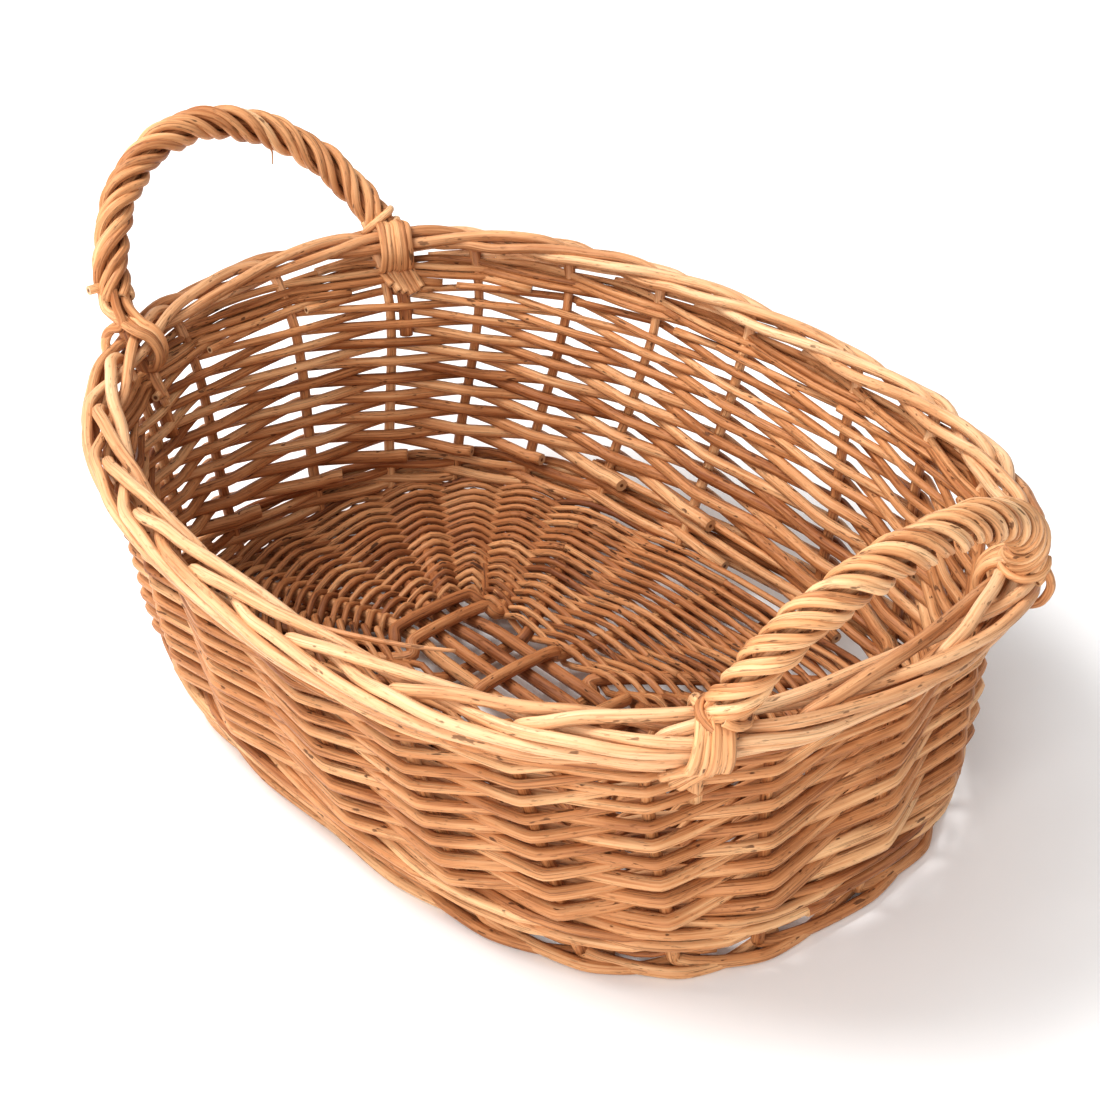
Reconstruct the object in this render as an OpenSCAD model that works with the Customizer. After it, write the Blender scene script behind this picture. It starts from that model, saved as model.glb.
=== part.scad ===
// Oval willow basket with flaring walls, a woven border and foot, and a roped handle at each end.
// X runs along the oval, Y across it, Z up. The basket stands on z = 0.

/* [Rim] */
// Length of the border, outside to outside
rim_length = 450; // [420:5:480]
// Width of the border, outside to outside
rim_width = 346; // [320:5:370]
// Height of the middle of the border above the table
rim_height = 136; // [125:1:150]
// How far the border climbs at the ends and dips at the sides
rim_sweep = 4; // [0:0.5:6]
// How square the border's oval is, where 2 is an ellipse
rim_squareness = 2.33; // [2:0.05:2.6]
// Half the width of the border's rope-like section
border_half_width = 12; // [11:0.5:13]
// Half the height of the border's section
border_half_height = 10; // [9:0.5:11]

/* [Foot and base] */
// Length of the foot border's middle line
foot_length = 368; // [350:2:380]
// Width of the foot border's middle line
foot_width = 247; // [235:1:255]
// How square the foot's oval is
foot_squareness = 2.75; // [2.4:0.05:3]
// Height of the foot border
foot_height = 10.2; // [9:0.2:11]
// Half the width of the foot border
foot_half_width = 5.5; // [5:0.25:6.5]
// Diameter of the thick base sticks
base_stick_d = 6.4; // [5.5:0.1:6.6]
// Thickness of the woven base
base_thickness = 9; // [8.5:0.5:10]
// Distance between neighbouring long base sticks
long_stick_pitch = 11.5; // [10:0.5:13]

/* [Wall] */
// Number of side stakes
stakes = 23; // [21:1:25]
// Diameter of a side stake at the foot
stake_d = 5.8; // [5:0.1:6]
// Diameter of a side stake under the border
stake_top_d = 5; // [4.4:0.1:5.4]
// Half the thickness of the woven wall
wall_half = 7.6; // [7:0.1:8.5]
// How far the wall bellies out between foot and border
wall_belly = 4.2; // [2:0.1:5]
// How far the upper wall is drawn in under the border at the two ends
end_tuck = 8.8; // [0:0.1:10]
// Top of the upsett wale above the table
upsett_top = 26; // [22:1:30]
// Bottom of the top wale below the middle of the border
top_wale_drop = 17; // [15:1:20]

/* [Handles] */
// Diameter of the core rod of a handle
core_d = 7; // [6:0.25:7.5]
// Diameter over the roping of a handle
rope_d = 17.4; // [16:0.2:18.4]
// How far the core goes down into the wall below the border's middle
core_depth = 42; // [30:1:60]
// Arc height of the left and right handles, measured up their lean
handle_reach = [87, 62];
// Lean of the left and right handles away from upright, in degrees
handle_lean = [37, 18.4];
// Fullness of the left and right arcs, where 1 is an ellipse and less is squarer
handle_fullness = [1.03, 0.95];
// How far the top of the left and right arcs leans towards the front
handle_skew = [4.3, 0];
// Thickness of a lashing over the border
lashing_wall = 4; // [3:0.25:5]
// Half the length of a lashing along the border
lashing_half_length = 10; // [8:0.5:12]

/* [Hidden] */
gap = 0.3;
// The left handle leans out further, so the middle of the whole length is off the oval's middle
centre_shift = 15.53;
rim_a = rim_length / 2 - border_half_width;
rim_b = rim_width / 2 - border_half_width;
foot_a = foot_length / 2;
foot_b = foot_width / 2;
foot_mid_z = foot_height / 2;
base_mid_z = 12.5;
stick_bend = base_stick_d + 0.4;
// The crossing of the base sticks sits a little off the middle, as a hand-made one does
slath_middle = [-12, -6];
// Places of the cross sticks along the crossing: a pair, three singles and a pair
cross_offsets = [-62.5, -49.5, -28, 0, 28, 49.5, 62.5];
// +1 where a cross stick passes over the long sticks and -1 where it passes under
cross_sides = [1, 1, -1, 1, -1, 1, 1];
slath_half_length = 69;
slath_half_width = 25;
// Angles round the base oval where the sticks end
cross_end_angles = [142, 128, 114, 90, 66, 52, 38];
long_end_angles = [-22, -7, 7, 22];
stick_end_inset = 13;
// Angles round the rim where the legs of the left and right handles stand
leg_angles = [[207.6, 157], [-28.5, 23.3]];
ring_step = 5;
tube_sides = 8;
handle_steps = 28;
LONG = [for (i = [1 : 4]) str("base_stick_long_", i)];
CROSS = [for (i = [1 : 7]) str("base_stick_cross_", i)];
STAKE = [for (i = [1 : stakes]) str("side_stake_", i < 10 ? "0" : "", i)];
ENDS = ["left", "right"];
LEGS = ["front", "back"];
buff = [0.82, 0.62, 0.43];
peeled = [0.87, 0.69, 0.50];
brown = [0.66, 0.45, 0.29];

// A point on an oval of half-lengths a and b, at angle t
function oval(a, b, n, t) = [a * sign(cos(t)) * pow(abs(cos(t)), 2 / n),
    b * sign(sin(t)) * pow(abs(sin(t)), 2 / n)];
// The outward unit normal of that oval at angle t
function oval_out(a, b, n, t) =
    let(k = 2 * (n - 1) / n,
        g = [sign(cos(t)) * pow(abs(cos(t)), k) / a, sign(sin(t)) * pow(abs(sin(t)), k) / b])
    g / norm(g);

// Height of the middle of the border at angle t
function rim_z(t) = rim_height + rim_sweep * cos(2 * t);
// The share of the way from foot to border at height z
function climb(t, z) = (z - foot_mid_z) / (rim_z(t) - foot_mid_z);
function belly(s) = wall_belly * sin(180 * pow(min(max(s, 0), 1), 0.6));
// The long sides belly out, and the ends are drawn in and come back out to meet the border
tuck_from = 0.15;
tuck_full = 0.75;
tuck_back = 5 / 6;
function eased(x) = let(c = min(max(x, 0), 1)) c * c * (3 - 2 * c);
function tuck(s) = end_tuck * (eased((s - tuck_from) / (tuck_full - tuck_from))
    - eased((s - tuck_back) / (1 - tuck_back)));
// A point at angle t and height z, set out from the middle of the wall
function wall(t, z, out = 0) =
    let(s = climb(t, z), n = foot_squareness + (rim_squareness - foot_squareness) * s,
        a = foot_a + (rim_a - foot_a) * s - tuck(s), b = foot_b + (rim_b - foot_b) * s + belly(s),
        p = oval(a, b, n, t) + out * oval_out(a, b, n, t))
    [p.x, p.y, z];
// A height given from the table up if positive, or down from the middle of the border if negative
function level(t, k) = k >= 0 ? k : rim_z(t) + k;

// Stakes are set by hand: they crowd a little at the left end and spread along the back
function stake_rim_angle(i) = let(a = 360 * i / stakes)
    a + 2.25 + 3.7 * sin(a - 36) + 5.15 * sin(2 * a + 22);
// Everything upright in the wall fans out from the ends of the base; s runs from foot to border
fan_out = 6;
function fanned(t, s) = t - fan_out * sin(2 * t) * (1 - s);
function stake_angle(i, s) = fanned(stake_rim_angle(i), s);

// Ring of solid through section loops, closed on itself
module ring_solid(loops) {
    n = len(loops);
    m = len(loops[0]);
    polyhedron([for (l = loops) each l], [for (i = [0 : n - 1], j = [0 : m - 1])
        let(p = i * m, q = (i + 1) % n * m, k = (j + 1) % m)
        each [[p + j, p + k, q + k], [p + j, q + k, q + j]]]);
}

// Solid through section loops with flat ends; the loops are convex
module rod_solid(loops) {
    n = len(loops);
    m = len(loops[0]);
    polyhedron([for (l = loops) each l], concat(
        [for (i = [0 : n - 2], j = [0 : m - 1])
            let(p = i * m, q = p + m, k = (j + 1) % m)
            each [[p + j, q + k, p + k], [p + j, q + j, q + k]]],
        [[for (j = [0 : m - 1]) j], [for (j = [m - 1 : -1 : 0]) (n - 1) * m + j]]));
}

// Round sections of radius r[i] along a path, turned so that one side faces the direction side
function tube(path, r, side, sides = tube_sides) =
    [for (i = [0 : len(path) - 1])
        let(before = path[max(i - 1, 0)], after = path[min(i + 1, len(path) - 1)],
            along = (after - before) / norm(after - before),
            u0 = side - (side * along) * along, u = u0 / norm(u0), v = cross(along, u))
        [for (j = [0 : sides - 1]) path[i] + r[i] * (cos(360 * j / sides) * u + sin(360 * j / sides) * v)]];

// A woven band of the wall between two levels
module wall_band(low, high, rows) {
    ring_solid([for (t = [0 : ring_step : 359])
        concat([for (k = [0 : rows]) wall(t, level(t, low) + (level(t, high) - level(t, low)) * k / rows, wall_half)],
            [for (k = [rows : -1 : 0]) wall(t, level(t, low) + (level(t, high) - level(t, low)) * k / rows, -wall_half)])]);
}

// A stake bends at evenly spaced heights; its two ends are cut at the heights low and high
stake_bends = 6;
function stake_bend(i, k) = let(s = k / stake_bends, t = stake_angle(i, s))
    wall(t, foot_mid_z + (rim_z(stake_rim_angle(i)) - foot_mid_z) * s);
function cut_at(p, q, z) = p + (q - p) * (z - p.z) / (q.z - p.z);
function stake_path(i, low, high) = concat([cut_at(stake_bend(i, 0), stake_bend(i, 1), low)],
    [for (k = [1 : stake_bends - 1]) stake_bend(i, k)],
    [cut_at(stake_bend(i, stake_bends - 1), stake_bend(i, stake_bends), high)]);
module stake_rod(i, low, below_border, more = 0) {
    t = stake_rim_angle(i);
    out = oval_out(rim_a, rim_b, rim_squareness, t);
    rod_solid(tube(stake_path(i, low, rim_z(t) - below_border),
        [for (k = [0 : stake_bends]) stake_d / 2 + (stake_top_d - stake_d) / 2 * k / stake_bends + more],
        [-out.y, out.x, 0]));
}
module stake_channels() {
    for (i = [0 : stakes - 1]) stake_rod(i, foot_height - 3, border_half_height - 4, gap);
}

module side_stake(i) { color(peeled) stake_rod(i, foot_height + 4 * gap, border_half_height + 4 * gap); }

module upsett_wale() {
    color(buff) difference() {
        wall_band(foot_height + gap, upsett_top, 2);
        stake_channels();
    }
}
module siding_weave() {
    color(buff) difference() {
        wall_band(upsett_top + gap, -top_wale_drop, 5);
        stake_channels();
        for (e = [0, 1], g = [0, 1]) leg(e, g, gap);
    }
}
module top_wale() {
    color(buff) difference() {
        wall_band(-top_wale_drop + gap, -border_half_height - gap, 1);
        stake_channels();
        for (e = [0, 1], g = [0, 1]) leg(e, g, gap);
    }
}

// Section of the border at angle t, an ellipse grown by more
function border_section(t, more, from = 0, to = 330, step = 30) =
    let(p = oval(rim_a, rim_b, rim_squareness, t), o = oval_out(rim_a, rim_b, rim_squareness, t))
    [for (f = [from : step : to])
        let(r = (border_half_width + more) * cos(f)) [p.x + o.x * r, p.y + o.y * r, rim_z(t) + (border_half_height + more) * sin(f)]];
module border() {
    color(peeled) difference() {
        ring_solid([for (t = [0 : ring_step : 359]) border_section(t, 0)]);
        for (e = [0, 1], g = [0, 1]) leg(e, g, gap);
    }
}

module foot_outline(out) {
    polygon([for (t = [0 : ring_step : 359])
        oval(foot_a, foot_b, foot_squareness, t) + out * oval_out(foot_a, foot_b, foot_squareness, t)]);
}
module foot_border() {
    color(peeled) linear_extrude(foot_height) difference() {
        foot_outline(foot_half_width);
        foot_outline(-foot_half_width);
    }
}

function base_end(t) = let(p = oval(foot_a, foot_b, foot_squareness, t)
    - (wall_half + stick_end_inset) * oval_out(foot_a, foot_b, foot_squareness, t)) [p.x, p.y, base_mid_z];
// A long stick lies straight through the crossing and fans out past it
function long_path(i) = let(y = slath_middle.y + (i - 1.5) * long_stick_pitch)
    [base_end(180 - long_end_angles[i]), [slath_middle.x - slath_half_length - 6, y, base_mid_z],
        [slath_middle.x + slath_half_length + 6, y, base_mid_z], base_end(long_end_angles[i])];
// A cross stick bends over or under the long ones and fans out past them
function cross_path(i) =
    let(x = slath_middle.x + cross_offsets[i], y = slath_middle.y, lift = cross_sides[i] * stick_bend)
    [base_end(-cross_end_angles[i]), [x, y - slath_half_width - 10, base_mid_z], [x, y - slath_half_width + 3, base_mid_z + lift],
        [x, y + slath_half_width - 3, base_mid_z + lift], [x, y + slath_half_width + 10, base_mid_z], base_end(cross_end_angles[i])];
module stick(path, more = 0) {
    rod_solid(tube(path, [for (p = path) base_stick_d / 2 + more], [0, 0, 1] + [0.01, 0.02, 0]));
}
module base_stick_long(i) { color(brown) stick(long_path(i)); }
module base_stick_cross(i) { color(brown) stick(cross_path(i)); }
module base_weave() {
    color(brown) difference() {
        translate([0, 0, base_mid_z - base_thickness / 2]) linear_extrude(base_thickness) difference() {
            foot_outline(-wall_half - gap);
            translate(slath_middle) square([2 * slath_half_length, 2 * slath_half_width], center = true);
        }
        for (i = [0 : 3]) stick(long_path(i), gap);
        for (i = [0 : 6]) stick(cross_path(i), gap);
    }
}

// Handle e rises from two legs on the rim; its arc lies in a plane that leans outward
function root(e, g) = let(t = leg_angles[e][g], p = oval(rim_a, rim_b, rim_squareness, t)) [p.x, p.y, rim_z(t)];
function arc_point(e, f) =
    let(a = root(e, 0), b = root(e, 1), k = handle_fullness[e], side = e == 0 ? -1 : 1,
        up = [side * sin(handle_lean[e]), 0, cos(handle_lean[e])])
    (a + b) / 2 - (b - a) / 2 * sign(cos(f)) * pow(abs(cos(f)), k) + up * handle_reach[e] * pow(sin(f), k)
    - (b - a) / norm(b - a) * handle_skew[e] * pow(sin(f), k);
function leg_path(e, g) = let(t = leg_angles[e][g])
    [for (z = [-core_depth : core_depth / 3 : 0]) wall(fanned(t, climb(t, rim_z(t) + z)), rim_z(t) + z)];
function handle_side(e) = let(lean = handle_lean[e], side = e == 0 ? -1 : 1) [side * cos(lean), 0, -sin(lean)];
function reversed(list) = [for (i = [len(list) - 1 : -1 : 0]) list[i]];
function arc_range(e, from, to) = [for (k = [0 : handle_steps]) arc_point(e, from + (to - from) * k / handle_steps)];
arc_start = 7;
// The roping of the left and right handles starts just clear of the lashings
rope_start = [15.5, 16.5];

// Where a leg stands in the wall and border, up to just above the border
module leg(e, g, more) {
    bow = g == 0 ? arc_range(e, arc_start, 180 - arc_start) : arc_range(e, 180 - arc_start, arc_start);
    path = concat(leg_path(e, g), [for (k = [0 : 2]) bow[k]]);
    rod_solid(tube(path, [for (p = path) core_d / 2 + more], handle_side(e)));
}
module handle_core(e) {
    path = concat(leg_path(e, 0), arc_range(e, arc_start, 180 - arc_start), reversed(leg_path(e, 1)));
    color(peeled) rod_solid(tube(path, [for (p = path) core_d / 2], handle_side(e)));
}
module handle_rope(e) {
    path = arc_range(e, rope_start[e], 180 - rope_start[e]);
    outer = tube(path, [for (p = path) rope_d / 2], handle_side(e), 12);
    inner = tube(path, [for (p = path) core_d / 2 + gap], handle_side(e), 12);
    n = len(path);
    color(peeled) polyhedron([for (l = concat(outer, inner)) each l], concat(
        [for (i = [0 : n - 2], j = [0 : 11])
            let(p = i * 12, q = p + 12, k = (j + 1) % 12) each [[p + j, q + k, p + k], [p + j, q + j, q + k]]],
        [for (i = [n : 2 * n - 2], j = [0 : 11])
            let(p = i * 12, q = p + 12, k = (j + 1) % 12) each [[p + j, p + k, q + k], [p + j, q + k, q + j]]],
        [for (i = [0, n - 1], j = [0 : 11])
            let(p = i * 12, q = p + n * 12, k = (j + 1) % 12)
            each i == 0 ? [[p + j, p + k, q + k], [p + j, q + k, q + j]] : [[p + j, q + k, p + k], [p + j, q + j, q + k]]]));
}
// A lashing sits over the border like a saddle, open underneath
module lashing(e, g) {
    t0 = leg_angles[e][g];
    half = lashing_half_length / norm(wall(t0 + 0.5, rim_height) - wall(t0 - 0.5, rim_height));
    stations = [for (k = [-2 : 2]) t0 + half * k / 2];
    outer = [for (t = stations) border_section(t, gap + lashing_wall, -30, 210)];
    inner = [for (t = stations) border_section(t, gap, -30, 210)];
    m = len(outer[0]);
    n = len(stations);
    color(peeled) difference() {
        polyhedron([for (l = concat(outer, inner)) each l], concat(
            [for (i = [0 : n - 2], j = [0 : m - 2]) let(p = i * m + j, q = p + m)
                each [[p, p + 1, q + 1], [p, q + 1, q]]],
            [for (i = [n : 2 * n - 2], j = [0 : m - 2]) let(p = i * m + j, q = p + m)
                each [[p, q + 1, p + 1], [p, q, q + 1]]],
            [for (j = [0 : m - 2]) let(p = j, q = p + n * m) each [[p, q + 1, p + 1], [p, q, q + 1]]],
            [for (j = [0 : m - 2]) let(p = (n - 1) * m + j, q = p + n * m) each [[p, p + 1, q + 1], [p, q + 1, q]]],
            [for (i = [0 : n - 2]) let(p = i * m, q = p + n * m) each [[p, q + m, q], [p, p + m, q + m]]],
            [for (i = [0 : n - 2]) let(p = i * m + m - 1, q = p + n * m) each [[p, q, q + m], [p, q + m, p + m]]]));
        leg(e, g, gap);
    }
}

module placed() { translate([centre_shift, 0, 0]) children(); }
for (i = [0 : 3]) placed() base_stick_long(i);
for (i = [0 : 6]) placed() base_stick_cross(i);
placed() base_weave();
placed() foot_border();
for (i = [0 : stakes - 1]) placed() side_stake(i);
placed() upsett_wale();
placed() siding_weave();
placed() top_wale();
placed() border();
for (e = [0, 1]) placed() handle_core(e);
for (e = [0, 1]) placed() handle_rope(e);
for (e = [0, 1], g = [0, 1])
    placed() lashing(e, g);
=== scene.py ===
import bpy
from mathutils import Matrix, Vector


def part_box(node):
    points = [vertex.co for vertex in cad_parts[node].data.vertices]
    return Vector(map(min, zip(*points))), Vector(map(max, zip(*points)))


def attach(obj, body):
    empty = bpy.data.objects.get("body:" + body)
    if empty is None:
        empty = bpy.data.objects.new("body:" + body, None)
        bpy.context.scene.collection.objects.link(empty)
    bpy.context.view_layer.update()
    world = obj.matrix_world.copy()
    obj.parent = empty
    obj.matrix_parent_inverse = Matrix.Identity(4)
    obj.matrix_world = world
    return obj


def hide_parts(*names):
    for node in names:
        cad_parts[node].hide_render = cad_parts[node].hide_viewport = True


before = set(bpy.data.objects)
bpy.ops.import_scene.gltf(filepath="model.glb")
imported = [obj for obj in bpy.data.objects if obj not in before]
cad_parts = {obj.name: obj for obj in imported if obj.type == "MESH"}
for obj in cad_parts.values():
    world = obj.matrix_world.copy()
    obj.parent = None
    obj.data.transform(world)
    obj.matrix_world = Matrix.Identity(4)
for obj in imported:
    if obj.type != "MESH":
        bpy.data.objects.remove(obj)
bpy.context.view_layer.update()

import math
import random

import bmesh
import bpy
from mathutils import Vector

# ---------------------------------------------------------------- base sticks
# Eleven thick willow rods laid as a crossing: four run the length of the basket, and seven lie across
# them, alone or in pairs, over and under. Past the crossing they fan out to the edge of the oval base.
rng = random.Random(23)
foot_low, foot_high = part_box("foot_border")
foot_ring_half = 0.0055
foot_a = (foot_high.x - foot_low.x) / 2 - foot_ring_half
foot_b = (foot_high.y - foot_low.y) / 2 - foot_ring_half
foot_squareness = 2.75
middle = (foot_high.x + foot_low.x) / 2
base_low, base_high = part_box("base_weave")
base_z = (base_low.z + base_high.z) / 2
stick_radius = 0.0032
crossing = Vector((middle - 0.012, -0.006, base_z))
crossing_half_length, crossing_half_width = 0.069, 0.025
long_places = [(i - 1.5) * 0.0115 for i in range(4)]
cross_places = [-0.0625, -0.0495, -0.028, 0.0, 0.028, 0.0495, 0.0625]
cross_goes = [1, 1, -1, 1, -1, 1, 1]
long_ends = [-22, -7, 7, 22]
cross_ends = [142, 128, 114, 90, 66, 52, 38]
stick_inset = 0.006
stick_tip_radius = stick_radius * 0.93


def oval(a, b, squareness, turn):
    """A point of an oval with half lengths a and b, squarer than an ellipse above a squareness of 2."""
    c, s = math.cos(turn), math.sin(turn)
    return Vector((math.copysign(a * abs(c) ** (2 / squareness), c),
                   math.copysign(b * abs(s) ** (2 / squareness), s), 0))


def oval_outward(a, b, squareness, turn):
    """The way that the oval's edge faces at that point."""
    c, s = math.cos(turn), math.sin(turn)
    k = 2 - 2 / squareness
    facing = Vector((math.copysign(abs(c) ** k, c) / a, math.copysign(abs(s) ** k, s) / b, 0))
    return facing.normalized()


def base_edge(degrees, inset):
    """A point of the base's edge, or set in from it."""
    turn = math.radians(degrees)
    p = oval(foot_a, foot_b, foot_squareness, turn)
    p -= oval_outward(foot_a, foot_b, foot_squareness, turn) * inset
    return Vector((middle + p.x, p.y, base_z))


def bent_through(points, pieces=6):
    """Points on one smooth bend through the given ones, as a rod takes it."""
    out = []
    for i in range(len(points) - 1):
        before, a = points[max(i - 1, 0)], points[i]
        b, after = points[i + 1], points[min(i + 2, len(points) - 1)]
        for k in range(pieces):
            t = k / pieces
            out.append(0.5 * (2 * a + (b - before) * t + (2 * before - 5 * a + 4 * b - after) * t * t
                              + (3 * a - before - 3 * b + after) * t ** 3))
    return out + [points[-1].copy()]


def rod(points, butt, tip, tone=None, uneven=0.07):
    """A tapering rod along the points, with its thickness and its colour left to chance."""
    full = rng.uniform(1 - uneven, 1 + uneven)
    last = len(points) - 1
    radii = [full * (butt + (tip - butt) * i / last) for i in range(len(points))]
    return points, radii, rng.random() if tone is None else tone


def lay_rods(name, rods, finish, nodes, sides=8):
    """One piece made of rods, with the grain's run, each rod's colour and its cut ends kept on the mesh."""
    curve = bpy.data.curves.new(name, "CURVE")
    curve.dimensions = "3D"
    curve.bevel_depth = 1
    curve.bevel_resolution = (sides - 4) // 2
    for points, radii, tone in rods:
        spline = curve.splines.new("POLY")
        spline.points.add(len(points) - 1)
        for dot, place, radius in zip(spline.points, points, radii):
            dot.co = (*place, 1)
            dot.radius = radius
    bent = bpy.data.objects.new(name + "_rods", curve)
    bpy.context.scene.collection.objects.link(bent)
    bpy.context.view_layer.update()
    mesh = bpy.data.meshes.new_from_object(bent.evaluated_get(bpy.context.evaluated_depsgraph_get()))
    bpy.data.objects.remove(bent)
    grain, tones = [], []
    for points, radii, tone in rods:
        run = rng.random() * 9
        for i, (place, radius) in enumerate(zip(points, radii)):
            run += (place - points[i - 1]).length if i else 0
            for k in range(sides):
                a = math.tau * k / sides
                grain += (radius * math.cos(a), radius * math.sin(a), run)
            tones += [tone] * sides
    mesh.attributes.new("grain", "FLOAT_VECTOR", "POINT").data.foreach_set("vector", grain)
    mesh.attributes.new("tone", "FLOAT", "POINT").data.foreach_set("value", tones)
    closing = bmesh.new()
    closing.from_mesh(mesh)
    bmesh.ops.holes_fill(closing, edges=[edge for edge in closing.edges if edge.is_boundary], sides=0)
    bmesh.ops.recalc_face_normals(closing, faces=closing.faces)
    closing.to_mesh(mesh)
    closing.free()
    is_end = [float(len(face.vertices) > 4) for face in mesh.polygons]
    mesh.attributes.new("cut_end", "FLOAT", "FACE").data.foreach_set("value", is_end)
    mesh.polygons.foreach_set("use_smooth", [not end for end in is_end])
    mesh.materials.clear()
    mesh.materials.append(finish)
    mesh.update()
    piece = bpy.data.objects.new(name, mesh)
    bpy.context.scene.collection.objects.link(piece)
    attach(piece, "root")
    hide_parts(*nodes)


def willow(name, dark, mid, pale, gloss, marks):
    """Boiled and peeled willow: streaky along the rod, with bud scars, dark flecks and fine cracks."""
    material = bpy.data.materials.new(name)
    material.use_nodes = True
    nodes, links = material.node_tree.nodes, material.node_tree.links
    shader = nodes["Principled BSDF"]

    def node(kind, **values):
        made = nodes.new(kind)
        for key, value in values.items():
            setattr(made, key, value)
        return made

    def maths(operation, a, b=None, clamp=False):
        made = node("ShaderNodeMath", operation=operation, use_clamp=clamp)
        for socket, value in zip(made.inputs, (a, b)):
            if value is None:
                continue
            if isinstance(value, (int, float)):
                socket.default_value = value
            else:
                links.new(value, socket)
        return made.outputs[0]

    def blend(amount, a, b, kind="MIX"):
        made = node("ShaderNodeMix", data_type="RGBA", blend_type=kind)
        for socket, value in zip((made.inputs[0], made.inputs[6], made.inputs[7]), (amount, a, b)):
            if isinstance(value, (int, float)):
                socket.default_value = value
            elif isinstance(value, tuple):
                socket.default_value = (*value, 1)
            else:
                links.new(value, socket)
        return made.outputs[2]

    run = node("ShaderNodeAttribute", attribute_name="grain").outputs["Vector"]
    tone = node("ShaderNodeAttribute", attribute_name="tone").outputs["Fac"]
    end = node("ShaderNodeAttribute", attribute_name="cut_end").outputs["Fac"]

    def along_the_rod(across, along, detail=3, rough=0.55):
        stretch = node("ShaderNodeMapping")
        stretch.inputs["Scale"].default_value = (across, across, along)
        links.new(run, stretch.inputs["Vector"])
        noise = node("ShaderNodeTexNoise")
        noise.inputs["Scale"].default_value = 1
        noise.inputs["Detail"].default_value = detail
        noise.inputs["Roughness"].default_value = rough
        links.new(stretch.outputs[0], noise.inputs["Vector"])
        return noise.outputs["Fac"]

    def above(value, low, high):
        ramp = node("ShaderNodeMapRange", interpolation_type="SMOOTHSTEP")
        links.new(value, ramp.inputs["Value"])
        ramp.inputs["From Min"].default_value = low
        ramp.inputs["From Max"].default_value = high
        return ramp.outputs[0]

    patches = along_the_rod(110, 16)
    streaks = along_the_rod(900, 22, 4, 0.6)
    fibres = along_the_rod(2600, 60, 2)
    colour_at = maths("ADD", maths("MULTIPLY", tone, 0.20),
                      maths("ADD", maths("MULTIPLY", patches, 0.45), maths("MULTIPLY", streaks, 0.45)))
    ramp = node("ShaderNodeValToRGB")
    stops = ramp.color_ramp.elements
    stops[0].position, stops[0].color = 0.37, (*dark, 1)
    stops[1].position, stops[1].color = 0.75, (*pale, 1)
    half_way = stops.new(0.55)
    half_way.color = (*mid, 1)
    links.new(colour_at, ramp.inputs[0])
    flecks = above(along_the_rod(950, 190, 3), 0.60, 0.68)
    scars = above(along_the_rod(360, 110, 2), 0.67, 0.72)
    cracks = above(along_the_rod(1900, 26, 1), 0.62, 0.66)
    marked = maths("ADD", maths("MULTIPLY", flecks, 0.45), scars)
    marked = maths("ADD", marked, maths("MULTIPLY", cracks, 0.5), True)
    dark_marks = maths("MULTIPLY", marked, marks)
    stained = blend(dark_marks, ramp.outputs[0], tuple(c * 0.28 for c in dark))
    radius = node("ShaderNodeVectorMath", operation="LENGTH")
    flat = node("ShaderNodeVectorMath", operation="MULTIPLY")
    links.new(run, flat.inputs[0])
    flat.inputs[1].default_value = (1, 1, 0)
    links.new(flat.outputs[0], radius.inputs[0])
    pith = maths("SUBTRACT", 1, above(radius.outputs["Value"], 0.0006, 0.0013))
    ring = blend(pith, tuple(c * 0.75 for c in pale), tuple(c * 0.5 for c in dark))
    links.new(blend(end, stained, ring), shader.inputs["Base Color"])
    dullness = maths("ADD", gloss - 0.15, maths("MULTIPLY", dark_marks, 0.2))
    links.new(maths("ADD", maths("MULTIPLY", streaks, 0.3), dullness), shader.inputs["Roughness"])
    lumps = maths("MULTIPLY", along_the_rod(70, 45), 1.1)
    relief = maths("ADD", maths("MULTIPLY", fibres, 0.25), lumps)
    relief = maths("ADD", maths("MULTIPLY", streaks, 0.7), relief)
    height = maths("SUBTRACT", relief, maths("MULTIPLY", dark_marks, 0.9))
    shader.inputs["Specular IOR Level"].default_value = 0.3
    bump = node("ShaderNodeBump")
    bump.inputs["Strength"].default_value = 0.55
    bump.inputs["Distance"].default_value = 0.0012
    links.new(height, bump.inputs["Height"])
    links.new(bump.outputs[0], shader.inputs["Normal"])
    return material


brown_willow = willow("brown_willow", dark=(0.19, 0.058, 0.018), mid=(0.45, 0.180, 0.066),
                      pale=(0.70, 0.370, 0.170), gloss=0.5, marks=0.9)
for i, place in enumerate(long_places):
    y = crossing.y + place
    path = [base_edge(180 - long_ends[i], stick_inset),
            Vector((crossing.x - crossing_half_length - 0.006, y, base_z)),
            Vector((crossing.x - 0.03, y, base_z)),
            Vector((crossing.x + 0.03, y, base_z)),
            Vector((crossing.x + crossing_half_length + 0.006, y, base_z)),
            base_edge(long_ends[i], stick_inset)]
    lay_rods(f"long_base_stick_{i + 1}", [rod(bent_through(path, 8), stick_radius, stick_tip_radius)],
             brown_willow, [f"base_stick_long_{i + 1}"], 12)
for i, place in enumerate(cross_places):
    x, y = crossing.x + place, crossing.y
    lift = cross_goes[i] * stick_radius * 2
    path = [base_edge(-cross_ends[i], stick_inset),
            Vector((x, y - crossing_half_width - 0.008, base_z)),
            Vector((x, y - crossing_half_width + 0.004, base_z + lift * 0.8)),
            Vector((x, y, base_z + lift)),
            Vector((x, y + crossing_half_width - 0.004, base_z + lift * 0.8)),
            Vector((x, y + crossing_half_width + 0.008, base_z)),
            base_edge(cross_ends[i], stick_inset)]
    lay_rods(f"cross_base_stick_{i + 1}", [rod(bent_through(path, 8), stick_radius, stick_tip_radius)],
             brown_willow, [f"base_stick_cross_{i + 1}"], 12)

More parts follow.
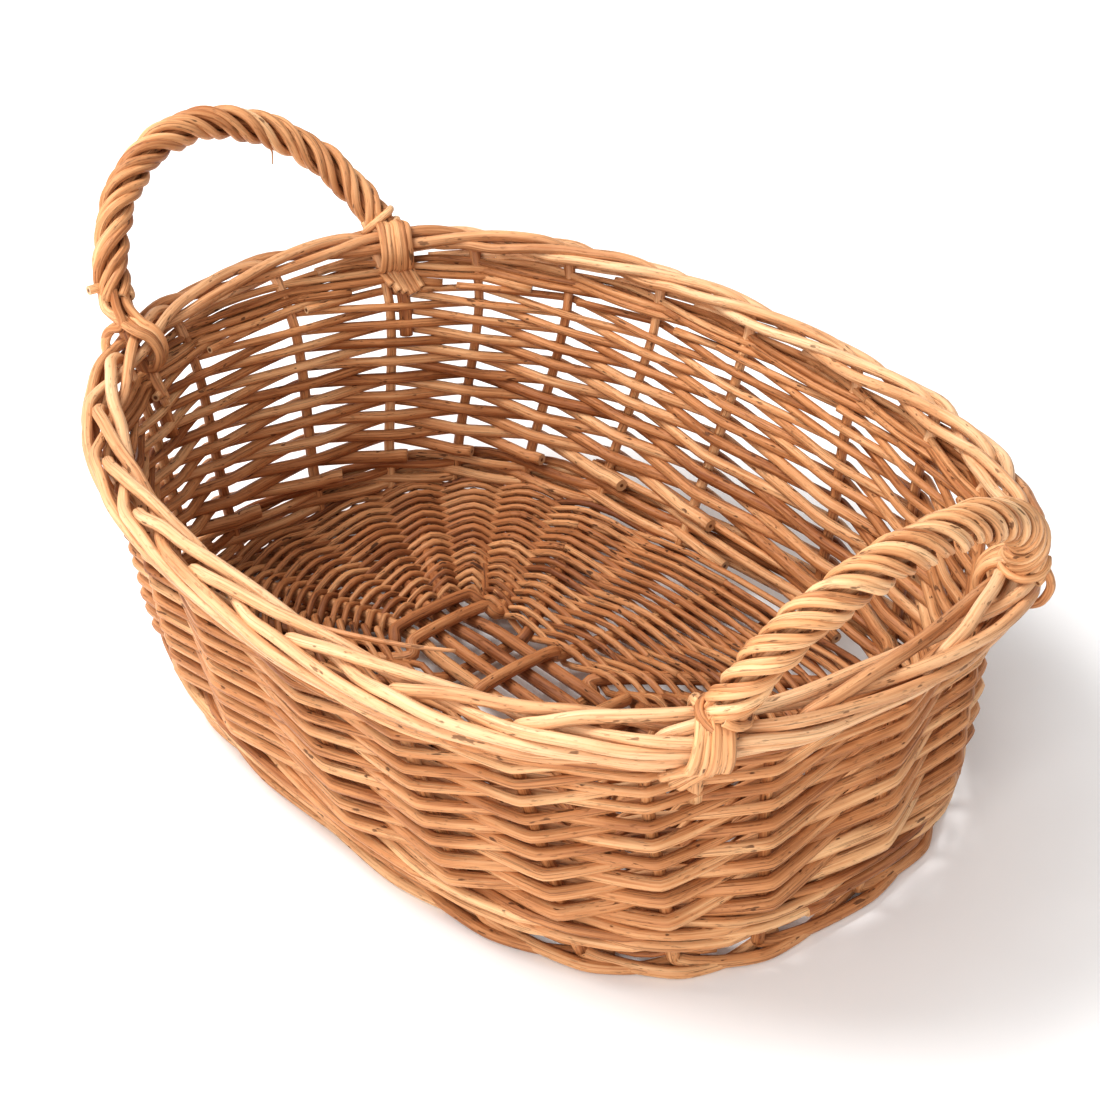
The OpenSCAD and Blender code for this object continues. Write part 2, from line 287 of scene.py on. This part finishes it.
# ----------------------------------------------------------------- base weave
# Thin rods woven two at a time round the fanned sticks. The pair cross between every two sticks, so one
# goes over each stick and the other under it, and the rounds pack outwards to the edge of the base.
pair_radius = 0.0017
base_rounds = 16
pair_edge_inset = 0.0008
pair_butt, pair_tip = pair_radius * 1.08, pair_radius * 0.9
pair_sway, pair_bow = 0.0008, 0.0012
points_to_a_stick = 5


def crossing_edge(x, y):
    return Vector((crossing.x + x, crossing.y + y, base_z))


# Each stick's end of the crossing with the angle it fans out to, round the base from the right
spokes = [(crossing_edge(crossing_half_length, y), end) for y, end in zip(long_places, long_ends)]
for x, end in zip(cross_places[::-1], cross_ends[::-1]):
    spokes.append((crossing_edge(x, crossing_half_width), end))
for y, end in zip(long_places[::-1], long_ends[::-1]):
    spokes.append((crossing_edge(-crossing_half_length, y), 180 - end))
for x, end in zip(cross_places, cross_ends):
    spokes.append((crossing_edge(x, -crossing_half_width), 360 - end))


def swing(stakes, sharp):
    """From +1 at an even stake to -1 at an odd one, bent most where the rod turns round the stake."""
    return math.asin(sharp * math.cos(math.pi * stakes)) / math.asin(sharp)


def on_base(spoke, part, out):
    """A point between two sticks of the base: straight across near the crossing and oval at the edge."""
    inner_a, turn_a = spokes[spoke % len(spokes)]
    inner_b, turn_b = spokes[(spoke + 1) % len(spokes)]
    turn_b += 360 if turn_b < turn_a else 0
    edge_a, edge_b = base_edge(turn_a, pair_edge_inset), base_edge(turn_b, pair_edge_inset)
    bow_out = base_edge(turn_a + (turn_b - turn_a) * part, pair_edge_inset) - edge_a.lerp(edge_b, part)
    return inner_a.lerp(edge_a, out).lerp(inner_b.lerp(edge_b, out), part) + bow_out * out ** 2


pair_rods = []
end_of_weave = base_rounds * len(spokes)
for side in (0, 1):
    place = 0
    while place < end_of_weave - 4:
        length = min(rng.randrange(26, 40), end_of_weave - place)
        points = []
        loose = [rng.gauss(0, 0.00025) for _ in range(length + 2)]
        for k in range(length * points_to_a_stick + 1):
            s = place + k / points_to_a_stick
            spoke, part = int(s), s - int(s)
            p = on_base(spoke, part, min((s + 6) / (end_of_weave - 10), 1))
            outward = Vector((p.x - crossing.x, p.y - crossing.y, 0)).normalized()
            turned = math.sin(math.pi * part) * (1 if (spoke + side) % 2 else -1)
            own = loose[int(k / points_to_a_stick)]
            p += outward * (pair_sway * turned + own + pair_bow * math.sin(math.pi * part))
            p.z += swing(s + side, 0.9) * (stick_radius + pair_radius * 0.9)
            points.append(p)
        pair_rods.append(rod(points, pair_butt, pair_tip, uneven=0.12))
        place += length - 1
lay_rods("base_weave_rods", pair_rods, brown_willow, ["base_weave"])

# ---------------------------------------------------------------- side stakes
# Twenty-three upright rods of peeled willow that the wall is woven on. They fan out from the edge of the
# base, lean outward with the wall, and reach the underside of the border. They are spaced by eye.
stakes = 23
stake_radius, stake_top_radius = 0.0028, 0.0024
stake_foot_z, stake_top_gap = 0.0085, 0.001
stake_fan = 6
border_half_width, border_half_height = 0.012, 0.010
rim_low, rim_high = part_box("border")
rim_a = (rim_high.x - rim_low.x) / 2 - border_half_width
rim_b = (rim_high.y - rim_low.y) / 2 - border_half_width
rim_squareness = 2.33
rim_mid = (rim_high.z + rim_low.z) / 2
rim_sweep = (rim_high.z - rim_low.z) / 2 - border_half_height
foot_mid = foot_high.z / 2
wall_belly = 0.0042
# The ends of the wall are drawn in from this share of its height, over this much more, and let out over
# the last sixth
end_tuck = 0.0088
tuck_from, tuck_over = 0.15, 0.6
tuck_let_out = 5 / 6


def stake_turn(number):
    """The angle of a stake round the oval, off its even place as the maker's eye set it."""
    a = math.tau * number / stakes
    once_round = 3.7 * math.sin(a - math.radians(36))
    twice_round = 5.15 * math.sin(2 * a + math.radians(22))
    return a + math.radians(2.25 + once_round + twice_round)


def fanned(turn, climb):
    """The angle lower down on the wall, where the stakes stand closer to the ends of the base."""
    return turn - math.radians(stake_fan) * math.sin(2 * turn) * (1 - climb)


def rim_z(turn):
    """The height of the border's middle, which sweeps up at the two ends."""
    return rim_mid + rim_sweep * math.cos(2 * turn)


def eased(x):
    x = min(max(x, 0), 1)
    return x * x * (3 - 2 * x)


def wall(turn, z, out=0.0):
    """A point of the wall's middle at that angle and height, or set out from it."""
    s = (z - foot_mid) / (rim_z(turn) - foot_mid)
    belly = wall_belly * math.sin(math.pi * min(max(s, 0), 1) ** 0.6)
    tuck = end_tuck * (eased((s - tuck_from) / tuck_over) - eased((s - tuck_let_out) * 6))
    a = foot_a + (rim_a - foot_a) * s - tuck
    b = foot_b + (rim_b - foot_b) * s + belly
    squareness = foot_squareness + (rim_squareness - foot_squareness) * s
    p = oval(a, b, squareness, turn) + oval_outward(a, b, squareness, turn) * out
    return Vector((middle + p.x, p.y, z))


def on_stake(number, z, out=0.0):
    """A point of a stake at that height."""
    turn = stake_turn(number)
    return wall(fanned(turn, (z - foot_mid) / (rim_z(turn) - foot_mid)), z, out)


def between_stakes(place, z, out=0.0, tight=0.65):
    """A point of the weave at that number of stakes round, nearly straight from each stake to the next."""
    k = math.floor(place)
    part = place - k
    a, b = on_stake(k, z), on_stake(k + 1, z)
    turn = stake_turn(k) * (1 - part) + stake_turn(k + 1) * part
    turn = fanned(turn, (z - foot_mid) / (rim_z(turn) - foot_mid))
    p = wall(turn, z).lerp(a.lerp(b, part), tight)
    return p + oval_outward(rim_a, rim_b, rim_squareness, turn) * out


peeled_willow = willow("peeled_willow", dark=(0.26, 0.080, 0.021), mid=(0.56, 0.252, 0.102),
                       pale=(0.82, 0.510, 0.270), gloss=0.44, marks=0.8)
for number in range(stakes):
    lean = [rng.gauss(0, 0.0003) for _ in range(9)]
    top = rim_z(stake_turn(number)) - border_half_height - stake_top_gap
    path = [on_stake(number, stake_foot_z + (top - stake_foot_z) * k / 8, lean[k]) for k in range(9)]
    stake = rod(bent_through(path, 4), stake_radius, stake_top_radius, uneven=0.04)
    lay_rods(f"side_stake_rod_{number + 1:02d}", [stake],
             peeled_willow, [f"side_stake_{number + 1:02d}"], 10)

# ---------------------------------------------------------------- upsett wale
# Two tight rounds of rods worked three at a time just above the foot. Each rod goes in front of two
# stakes and behind the next, over the top of the other two, which sets the stakes upright.
wale_outside, wale_swing, wale_crossing = 0.4, 1.05, 0.85
points_to_a_stake = 6


def wale(rounds, bottom, pitch, butt, tip, first_stake, length=17, height=None):
    """Three rods after each other, each outside two stakes and inside one, climbing by pitch each round."""
    rods = []
    for third in range(3):
        place = third
        total = int(rounds * stakes)
        while place < total + third - 3:
            count = round(min(rng.randrange(length - 3, length + 4), total - place + 3))
            points = []
            for k in range(count * points_to_a_stake + 1):
                s = place + k / points_to_a_stake
                turn = (s - third) % 3 / 3 * math.tau
                radius = butt + (tip - butt) * k / (count * points_to_a_stake)
                out = wale_outside - math.cos(turn) * wale_swing
                out = max(min(out, 1), -1) * (stake_radius + radius)
                z = bottom + pitch * s / stakes + radius * wale_crossing * math.sin(turn)
                if height:
                    z += height(stake_turn(s + first_stake))
                points.append(between_stakes(s + first_stake, z, out, 0.4))
            rods.append(rod(points, butt, tip, uneven=0.05))
            place += count - 1.2
    return rods


upsett = wale(rounds=2.05, bottom=0.0166, pitch=0.0072, butt=0.0027, tip=0.0021, first_stake=3.6)
lay_rods("upsett_wale_rods", upsett, peeled_willow, ["upsett_wale"])

# --------------------------------------------------------------- siding weave
# French randing: one long rod to each stake, every one starting with its thick butt inside its own stake
# and going in front of one stake and behind the next to the right, up to the top of the wall.
siding_low = 0.0330
siding_drop = 0.0175
strokes = 18
siding_butt, siding_tip = 0.0033, 0.0019
butt_tuck = 0.004
# Where the rod is given points between one stake and the next: closest where it turns round the stake
round_a_stake = [0, 0.045, 0.12, 0.25, 0.5, 0.75, 0.88, 0.955]
siding_rods = []
for number in range(stakes):
    length = strokes + rng.uniform(-0.25, 0.35)
    start = -rng.uniform(0.20, 0.30)
    sag = [rng.gauss(0, 0.00035) for _ in range(strokes + 4)]
    proud = [rng.gauss(0, 0.0002) for _ in range(strokes + 4)]
    points = []
    marks = [k + part for k in range(-1, strokes + 1) for part in round_a_stake]
    for s in [start] + [mark for mark in marks if start < mark < length]:
        risen = min(max(s / strokes, 0), 1)
        rise = (11.6 * risen - 1.55 * risen * risen) / 10.05
        turn = stake_turn(number + s)
        z = siding_low + (rim_z(turn) - siding_drop - siding_low) * rise
        j, part = int(s + 1), (s + 1) % 1
        z += sag[j] * (1 - part) + sag[j + 1] * part
        radius = siding_butt + (siding_tip - siding_butt) * risen ** 0.8
        out = -swing(s, 0.985) * (stake_radius - 0.0003 + radius)
        out = out + proud[j] * (1 - part) + proud[j + 1] * part
        if s < 0:
            out -= butt_tuck * s * s / 0.06
        points.append(between_stakes(number + s, z, out, 0.8))
    siding_rods.append(rod(points, siding_butt, siding_tip, uneven=0.08))
lay_rods("siding_weave_rods", siding_rods, peeled_willow, ["siding_weave"])

# ------------------------------------------------------------------- top wale
# Two rounds of thin peeled rods, again worked three at a time, in front of two stakes and behind the next.
# They lock the tips of the siding just below the border and follow its sweep.
top_wale = wale(rounds=2.1, bottom=-0.0165, pitch=0.0034, butt=0.0021, tip=0.0017, first_stake=8.4,
                height=rim_z)
lay_rods("top_wale_rods", top_wale, peeled_willow, ["top_wale"])

# --------------------------------------------------------------------- border
# The tops of the stakes laid down to the right: each goes behind two stakes and in front of three, and is
# cut off on the outside. The strands lie over each other like a rope along the rim.
# The border rods are the tops of the stakes, given a paler copy of the stakes' peeled willow. Its grain and
# marks are the willow's own, but the paleness is painted light, for the light that falls on the top of the
# rim.
border_willow_painted_light = willow("border_willow_painted_light", dark=(0.42, 0.168, 0.062), mid=(0.70, 0.380, 0.190),
                       pale=(0.88, 0.600, 0.360), gloss=0.42, marks=0.7)
# Stakes along from its own, then how far outward and how high from the middle of the border, in mm
border_bend = [(0, 0.6, -12), (0, 0.8, -5), (0.06, 1.4, 1.8), (0.25, 1.6, 5.2), (0.5, -0.8, 7),
               (0.8, -3.6, 7), (1.1, -5.6, 6), (1.45, -7.2, 4.4), (1.8, -7.4, 2.6), (2.1, -6, 1.4),
               (2.4, -2, 1), (2.7, 3, 2.2), (3, 5.8, 3.4), (3.35, 7.8, 2.2), (3.7, 8.8, 0),
               (4.1, 8.9, -2.6), (4.5, 8.4, -4.8), (4.85, 7.6, -6.4), (5.2, 7, -7.6), (5.6, 6.2, -8.4)]
mm = 0.001
held_by_its_stake = 0.3
border_rods = []
for number in range(stakes):
    stretch = rng.uniform(0.97, 1.04)
    path = []
    for along, out, up in border_bend:
        place = number + along * stretch
        z = rim_z(stake_turn(place)) + up * mm
        free = along > held_by_its_stake
        sideways = rng.gauss(0, 0.0004) if free else 0
        path.append(between_stakes(place, z, out * mm + sideways, 0.6))
        path[-1].z += rng.gauss(0, 0.0003) if free else 0
    border_rods.append(rod(bent_through(path, 4), stake_radius, 0.0023))


def by_the_border(place, out, up):
    """A point set out and up from the middle of the border, in mm, at that number of stakes round."""
    return between_stakes(place, rim_z(stake_turn(place)) + up * mm, out * mm)


# A thin rod tip that slipped out over the inner edge, and the frayed end of a rod cut on the outside
loose_tip = [(17.7, -4, 2), (18.1, -8, 5), (18.5, -13, 6.5), (18.9, -21, 6), (19.2, -29, 4)]
path = [by_the_border(*spot) for spot in loose_tip]
border_rods.append(rod(bent_through(path, 5), 0.0016, 0.0008, 0.0))
for splinter in range(5):
    aside = 0.4 * (splinter % 2)
    path = [by_the_border(20.62, 8.6 + aside, -6.4),
            by_the_border(20.85, 9.2 + aside, -7.6 - 0.4 * splinter),
            by_the_border(21.02 + 0.02 * splinter, 9.8 + aside, -8.4 - 0.7 * splinter)]
    border_rods.append(rod(bent_through(path, 3), 0.0014, 0.0008, 0.6, 0.3))
lay_rods("border_rods", border_rods, border_willow_painted_light, ["border"], 10)

# ---------------------------------------------------------------- foot border
# The butt ends of the stakes turned down below the base and laid to the right, each outside the next one
# and tucked in behind the one after, so the basket stands on them.
# Stakes along from its own, then how far outward of the wall and how high above the table, in mm
foot_bend = [(0, 0, 20), (0, 0, 9), (0.08, 0.5, 6.2), (0.25, 1.6, 4.4), (0.6, 3.4, 3.4), (1, 5, 3),
             (1.3, 4.4, 2.8), (1.6, 2.4, 2.7), (1.85, -0.8, 2.7), (2.1, -3.4, 2.7), (2.3, -4.6, 2.7)]
foot_rods = []
for number in range(stakes):
    path = [between_stakes(number + along, up * mm, out * mm, 0.3) for along, out, up in foot_bend]
    foot_rods.append(rod(bent_through(path, 4), stake_radius, 0.0025, uneven=0.03))
lay_rods("foot_border_rods", foot_rods, peeled_willow, ["foot_border"], 10)

# --------------------------------------------------------------- handle cores
# A thick rod bent to a bow at each end of the basket, with its two legs pushed down through the border
# into the weave of the wall. The left bow leans well out over the end, and the right one stands up.
ends = ("left", "right")
legs = ("front", "back")
leg_turns = {"left": (207.6, 157.0), "right": (-28.5, 23.3)}
bow_reach = {"left": 0.087, "right": 0.062}
bow_lean = {"left": 37.0, "right": 18.4}
bow_fullness = {"left": 1.03, "right": 0.95}
bow_skew = {"left": 0.0043, "right": 0.0}
core_radius = 0.0035
core_depth = 0.042
core_set_in = 0.0028


def bow(end, f):
    """A point of the bow, with f from 0 at the front leg to pi at the back one."""
    feet = []
    for degrees in leg_turns[end]:
        turn = math.radians(degrees)
        feet.append(wall(turn, rim_z(turn)))
    a, b = feet
    lean = math.radians(bow_lean[end])
    up = Vector(((-1 if end == "left" else 1) * math.sin(lean), 0, math.cos(lean)))
    full = bow_fullness[end]
    swept = math.copysign(abs(math.cos(f)) ** full, math.cos(f))
    height = max(math.sin(f), 0) ** full
    p = (a + b) / 2 - (b - a) / 2 * swept + up * bow_reach[end] * height
    return p - (b - a).normalized() * bow_skew[end] * height


def leg(end, which):
    """The points of a leg, from its tip in the wall up to the middle of the border."""
    turn = math.radians(leg_turns[end][which])
    points = []
    for k in range(4):
        z = rim_z(turn) - core_depth * (1 - k / 3)
        climb = (z - foot_mid) / (rim_z(turn) - foot_mid)
        points.append(wall(fanned(turn, climb), z, -core_set_in * (1 - k / 3)))
    return points


for end in ends:
    path = leg(end, 0) + [bow(end, math.pi * k / 30) for k in range(2, 29)] + leg(end, 1)[::-1]
    lay_rods(f"handle_bow_{end}", [rod(bent_through(path, 3), core_radius, core_radius * 0.95, uneven=0)],
             peeled_willow, [f"handle_core_{end}"], 12)

# -------------------------------------------------------------- handle roping
# Thin rods twisted round each bow in pairs: four pairs wound steeply on the right handle, and three
# pairs of thicker rods wound more loosely on the left one.
rope_willow = willow("rope_willow", dark=(0.38, 0.140, 0.048), mid=(0.70, 0.360, 0.165),
                     pale=(0.90, 0.590, 0.330), gloss=0.44, marks=0.8)
strand_radius = {"left": 0.0024, "right": 0.0019}
strand_groups = {"left": 3, "right": 4}
strand_apart = {"left": 0.37, "right": 0.27}
rope_middle = {"left": 0.0061, "right": 0.0068}
rope_pitch = {"left": 0.054, "right": 0.042}
rope_from = {"left": (math.radians(16), math.radians(9)), "right": (math.radians(11), math.radians(10))}
points_to_a_strand = 120


def bow_frame(end, f):
    """The bow's point at f with its way along, its outward side and the side that faces the right."""
    here = bow(end, f)
    along = (bow(end, f + 0.01) - bow(end, f - 0.01)).normalized()
    lean = math.radians(bow_lean[end])
    side = Vector((math.cos(lean), 0, (1 if end == "left" else -1) * math.sin(lean)))
    outward = side.cross(along).normalized()
    centre = bow(end, math.pi / 2) - Vector((0, 0, bow_reach[end]))
    if outward.dot(here - centre) < 0:
        outward = -outward
    return here, along, outward, side


for end in ends:
    strands = []
    first, last = rope_from[end][0], math.pi - rope_from[end][1]
    for group in range(strand_groups[end]):
        for member in (0, 1):
            phase = math.tau * group / strand_groups[end] + (2 * member - 1) * strand_apart[end]
            phase += rng.gauss(0, 0.05)
            lift = rng.gauss(0, 0.0003)
            points, run, before = [], 0.0, None
            for k in range(points_to_a_strand + 1):
                f = first + (last - first) * k / points_to_a_strand
                here, along, outward, side = bow_frame(end, f)
                run += (here - before).length if before is not None else 0
                before = here
                angle = phase + math.tau * run / rope_pitch[end]
                radius = rope_middle[end] + lift + 0.0005 * math.sin(run * 140 + phase * 3)
                points.append(here + outward * math.cos(angle) * radius + side * math.sin(angle) * radius)
            strands.append(rod(points, strand_radius[end], strand_radius[end] * 0.9, uneven=0.1))
    if end == "left":
        # A thin whisker under the bow and the cut stub of a strand low on its outer side
        here, along, outward, side = bow_frame(end, 2.15)
        strands.append(rod([here - outward * 0.006, here - outward * 0.010 + along * 0.003,
                            here - outward * 0.016 + along * 0.004], 0.0006, 0.0003, 0.2))
        here, along, outward, side = bow_frame(end, 0.36)
        strands.append(rod([here + outward * 0.003, here + outward * 0.008 - along * 0.001,
                            here + outward * 0.0125 - along * 0.002], 0.0023, 0.0022, 0.5))
    lay_rods(f"handle_roping_{end}", strands, rope_willow, [f"handle_rope_{end}"], 8)

# ------------------------------------------------------------------- lashings
# Where a bow meets the border its roping rods are brought down over the border, some outside and some
# inside, and tucked in below it.


def round_border(degrees, phi, grow):
    """A point round the border at that angle of the rim, with phi 0 outside, 90 on top and 180 inside."""
    turn, phi = math.radians(degrees), math.radians(phi)
    p = wall(turn, rim_z(turn), (border_half_width + grow) * math.cos(phi))
    p.z += (border_half_height + grow) * math.sin(phi)
    return p


# Each rod brought down: mm along the border on top and at its end, 1 outside or 0 inside, mm it drops
lashed = {("right", 0): [(-4, -15, 1, 20), (-2, -10, 1, 24), (1, -6, 1, 26), (3, -1, 1, 22), (5, 3, 1, 16),
                         (-6, -7, 0, 14), (2, 4, 0, 16)],
          ("right", 1): [(-4, -7, 0, 16), (0, -2, 0, 19), (4, 4, 0, 15), (-6, -9, 0, 13), (0, 1, 1, 14)],
          ("left", 0): [(-4, 5, 1, 17), (4, -5, 1, 18), (-6, -1, 0, 22), (-2, 0, 0, 25), (3, 1, 0, 24),
                        (7, 2, 0, 20)],
          ("left", 1): [(-8, -10, 0, 17), (-5, -6, 0, 19), (-2, -2, 0, 20), (1, 2, 0, 19), (4, 6, 0, 18),
                        (7, 9, 0, 15), (0, 0, 1, 13)]}
degrees_per_mm = 0.29
coil_turns, coil_from, coil_length, coil_over = 1.15, 0.6, 0.007, 0.0022
gathered_radius = 0.0055
below_border_out = 0.0065
for end in ends:
    for which in (0, 1):
        root = leg_turns[end][which]
        foot_f = rope_from[end][0] if which == 0 else math.pi - rope_from[end][1]
        here, along, outward, side = bow_frame(end, foot_f)
        down = -along if which == 0 else along
        rods = []
        # One rod is coiled round the foot of each roping, except at the front of the left handle
        if (end, which) != ("left", 0):
            coil = []
            swell = rope_middle[end] + coil_over
            for k in range(25):
                a = coil_from + math.tau * coil_turns * k / 24
                middle_of_coil = here + down * (coil_length * k / 24 - 0.002)
                coil.append(middle_of_coil + outward * math.cos(a) * swell + side * math.sin(a) * swell)
            rods.append(rod(coil, 0.0019, 0.0018))
        for number, (top, bottom, outside, drop) in enumerate(lashed[end, which]):
            around = math.tau * number / len(lashed[end, which])
            start = here + outward * math.cos(around) * gathered_radius
            start += side * math.sin(around) * gathered_radius
            path = [start - down * 0.004, start + down * 0.004]
            angles = (78, 42, 5, -32, -55) if outside else (102, 138, 175, 212, 235)
            for n, phi in enumerate(angles):
                share = (n + 1) / (len(angles) + 1)
                along_rim = (top * (1 - share) + bottom * share) * degrees_per_mm
                path.append(round_border(root + along_rim, phi, 0.0016 + 0.0005 * (number % 3)))
            turn = math.radians(root + bottom * degrees_per_mm)
            tucked = below_border_out if outside else -below_border_out
            path.append(wall(turn, rim_z(turn) - drop * mm, tucked))
            rods.append(rod(bent_through(path, 6), 0.0023, 0.0020, uneven=0.12))
        lay_rods(f"handle_lashing_{end}_{legs[which]}", rods, rope_willow,
                 [f"lashing_{end}_{legs[which]}"], 8)

# ----------------------------------------------------- table, light and camera
# A white table under a bright even studio: a large soft light overhead and to the left, a second one in
# front, and white all round.
table_half = 4
floor_mesh = bpy.data.meshes.new("table_top")
table_shape = bmesh.new()
bmesh.ops.create_grid(table_shape, x_segments=1, y_segments=1, size=table_half)
table_shape.to_mesh(floor_mesh)
table_shape.free()
floor = bpy.data.objects.new("table_top", floor_mesh)
bpy.context.scene.collection.objects.link(floor)
floor_paint = bpy.data.materials.new("white_table")
floor_paint.use_nodes = True
paint_shader = floor_paint.node_tree.nodes["Principled BSDF"]
paint_shader.inputs["Base Color"].default_value = (0.93, 0.93, 0.93, 1)
paint_shader.inputs["Roughness"].default_value = 0.9
floor_mesh.materials.append(floor_paint)


def soft_light(name, place, aim, size, power):
    lamp = bpy.data.lights.new(name, "AREA")
    lamp.shape = "SQUARE"
    lamp.size = size
    lamp.energy = power
    holder = bpy.data.objects.new(name, lamp)
    holder.location = place
    holder.rotation_euler = (Vector(aim) - Vector(place)).to_track_quat("-Z", "Y").to_euler()
    bpy.context.scene.collection.objects.link(holder)


soft_light("overhead", (-0.7, -0.7, 1.8), (0, 0, 0.1), 0.9, 33)
soft_light("front", (0.9, -1.7, 0.9), (0, 0, 0.1), 1.0, 20)
world = bpy.data.worlds.new("studio")
bpy.context.scene.world = world
world.use_nodes = True
world.node_tree.nodes["Background"].inputs["Color"].default_value = (1, 1, 1, 1)
world.node_tree.nodes["Background"].inputs["Strength"].default_value = 0.60
view = bpy.context.scene.view_settings
view.view_transform = "Standard"
view.exposure = 0.25
view.gamma = 0.89

camera = bpy.data.objects.new("camera", bpy.data.cameras.new("camera"))
camera.data.sensor_width = 36
camera.data.lens = 78.5
camera.data.clip_start = 0.05
camera.location = (middle + 0.6667, -0.5778, 0.6633)
aim = Vector((middle + 0.0321, -0.0246, 0.1127))
camera.rotation_euler = (aim - camera.location).to_track_quat("-Z", "Y").to_euler()
bpy.context.scene.collection.objects.link(camera)
bpy.context.scene.camera = camera
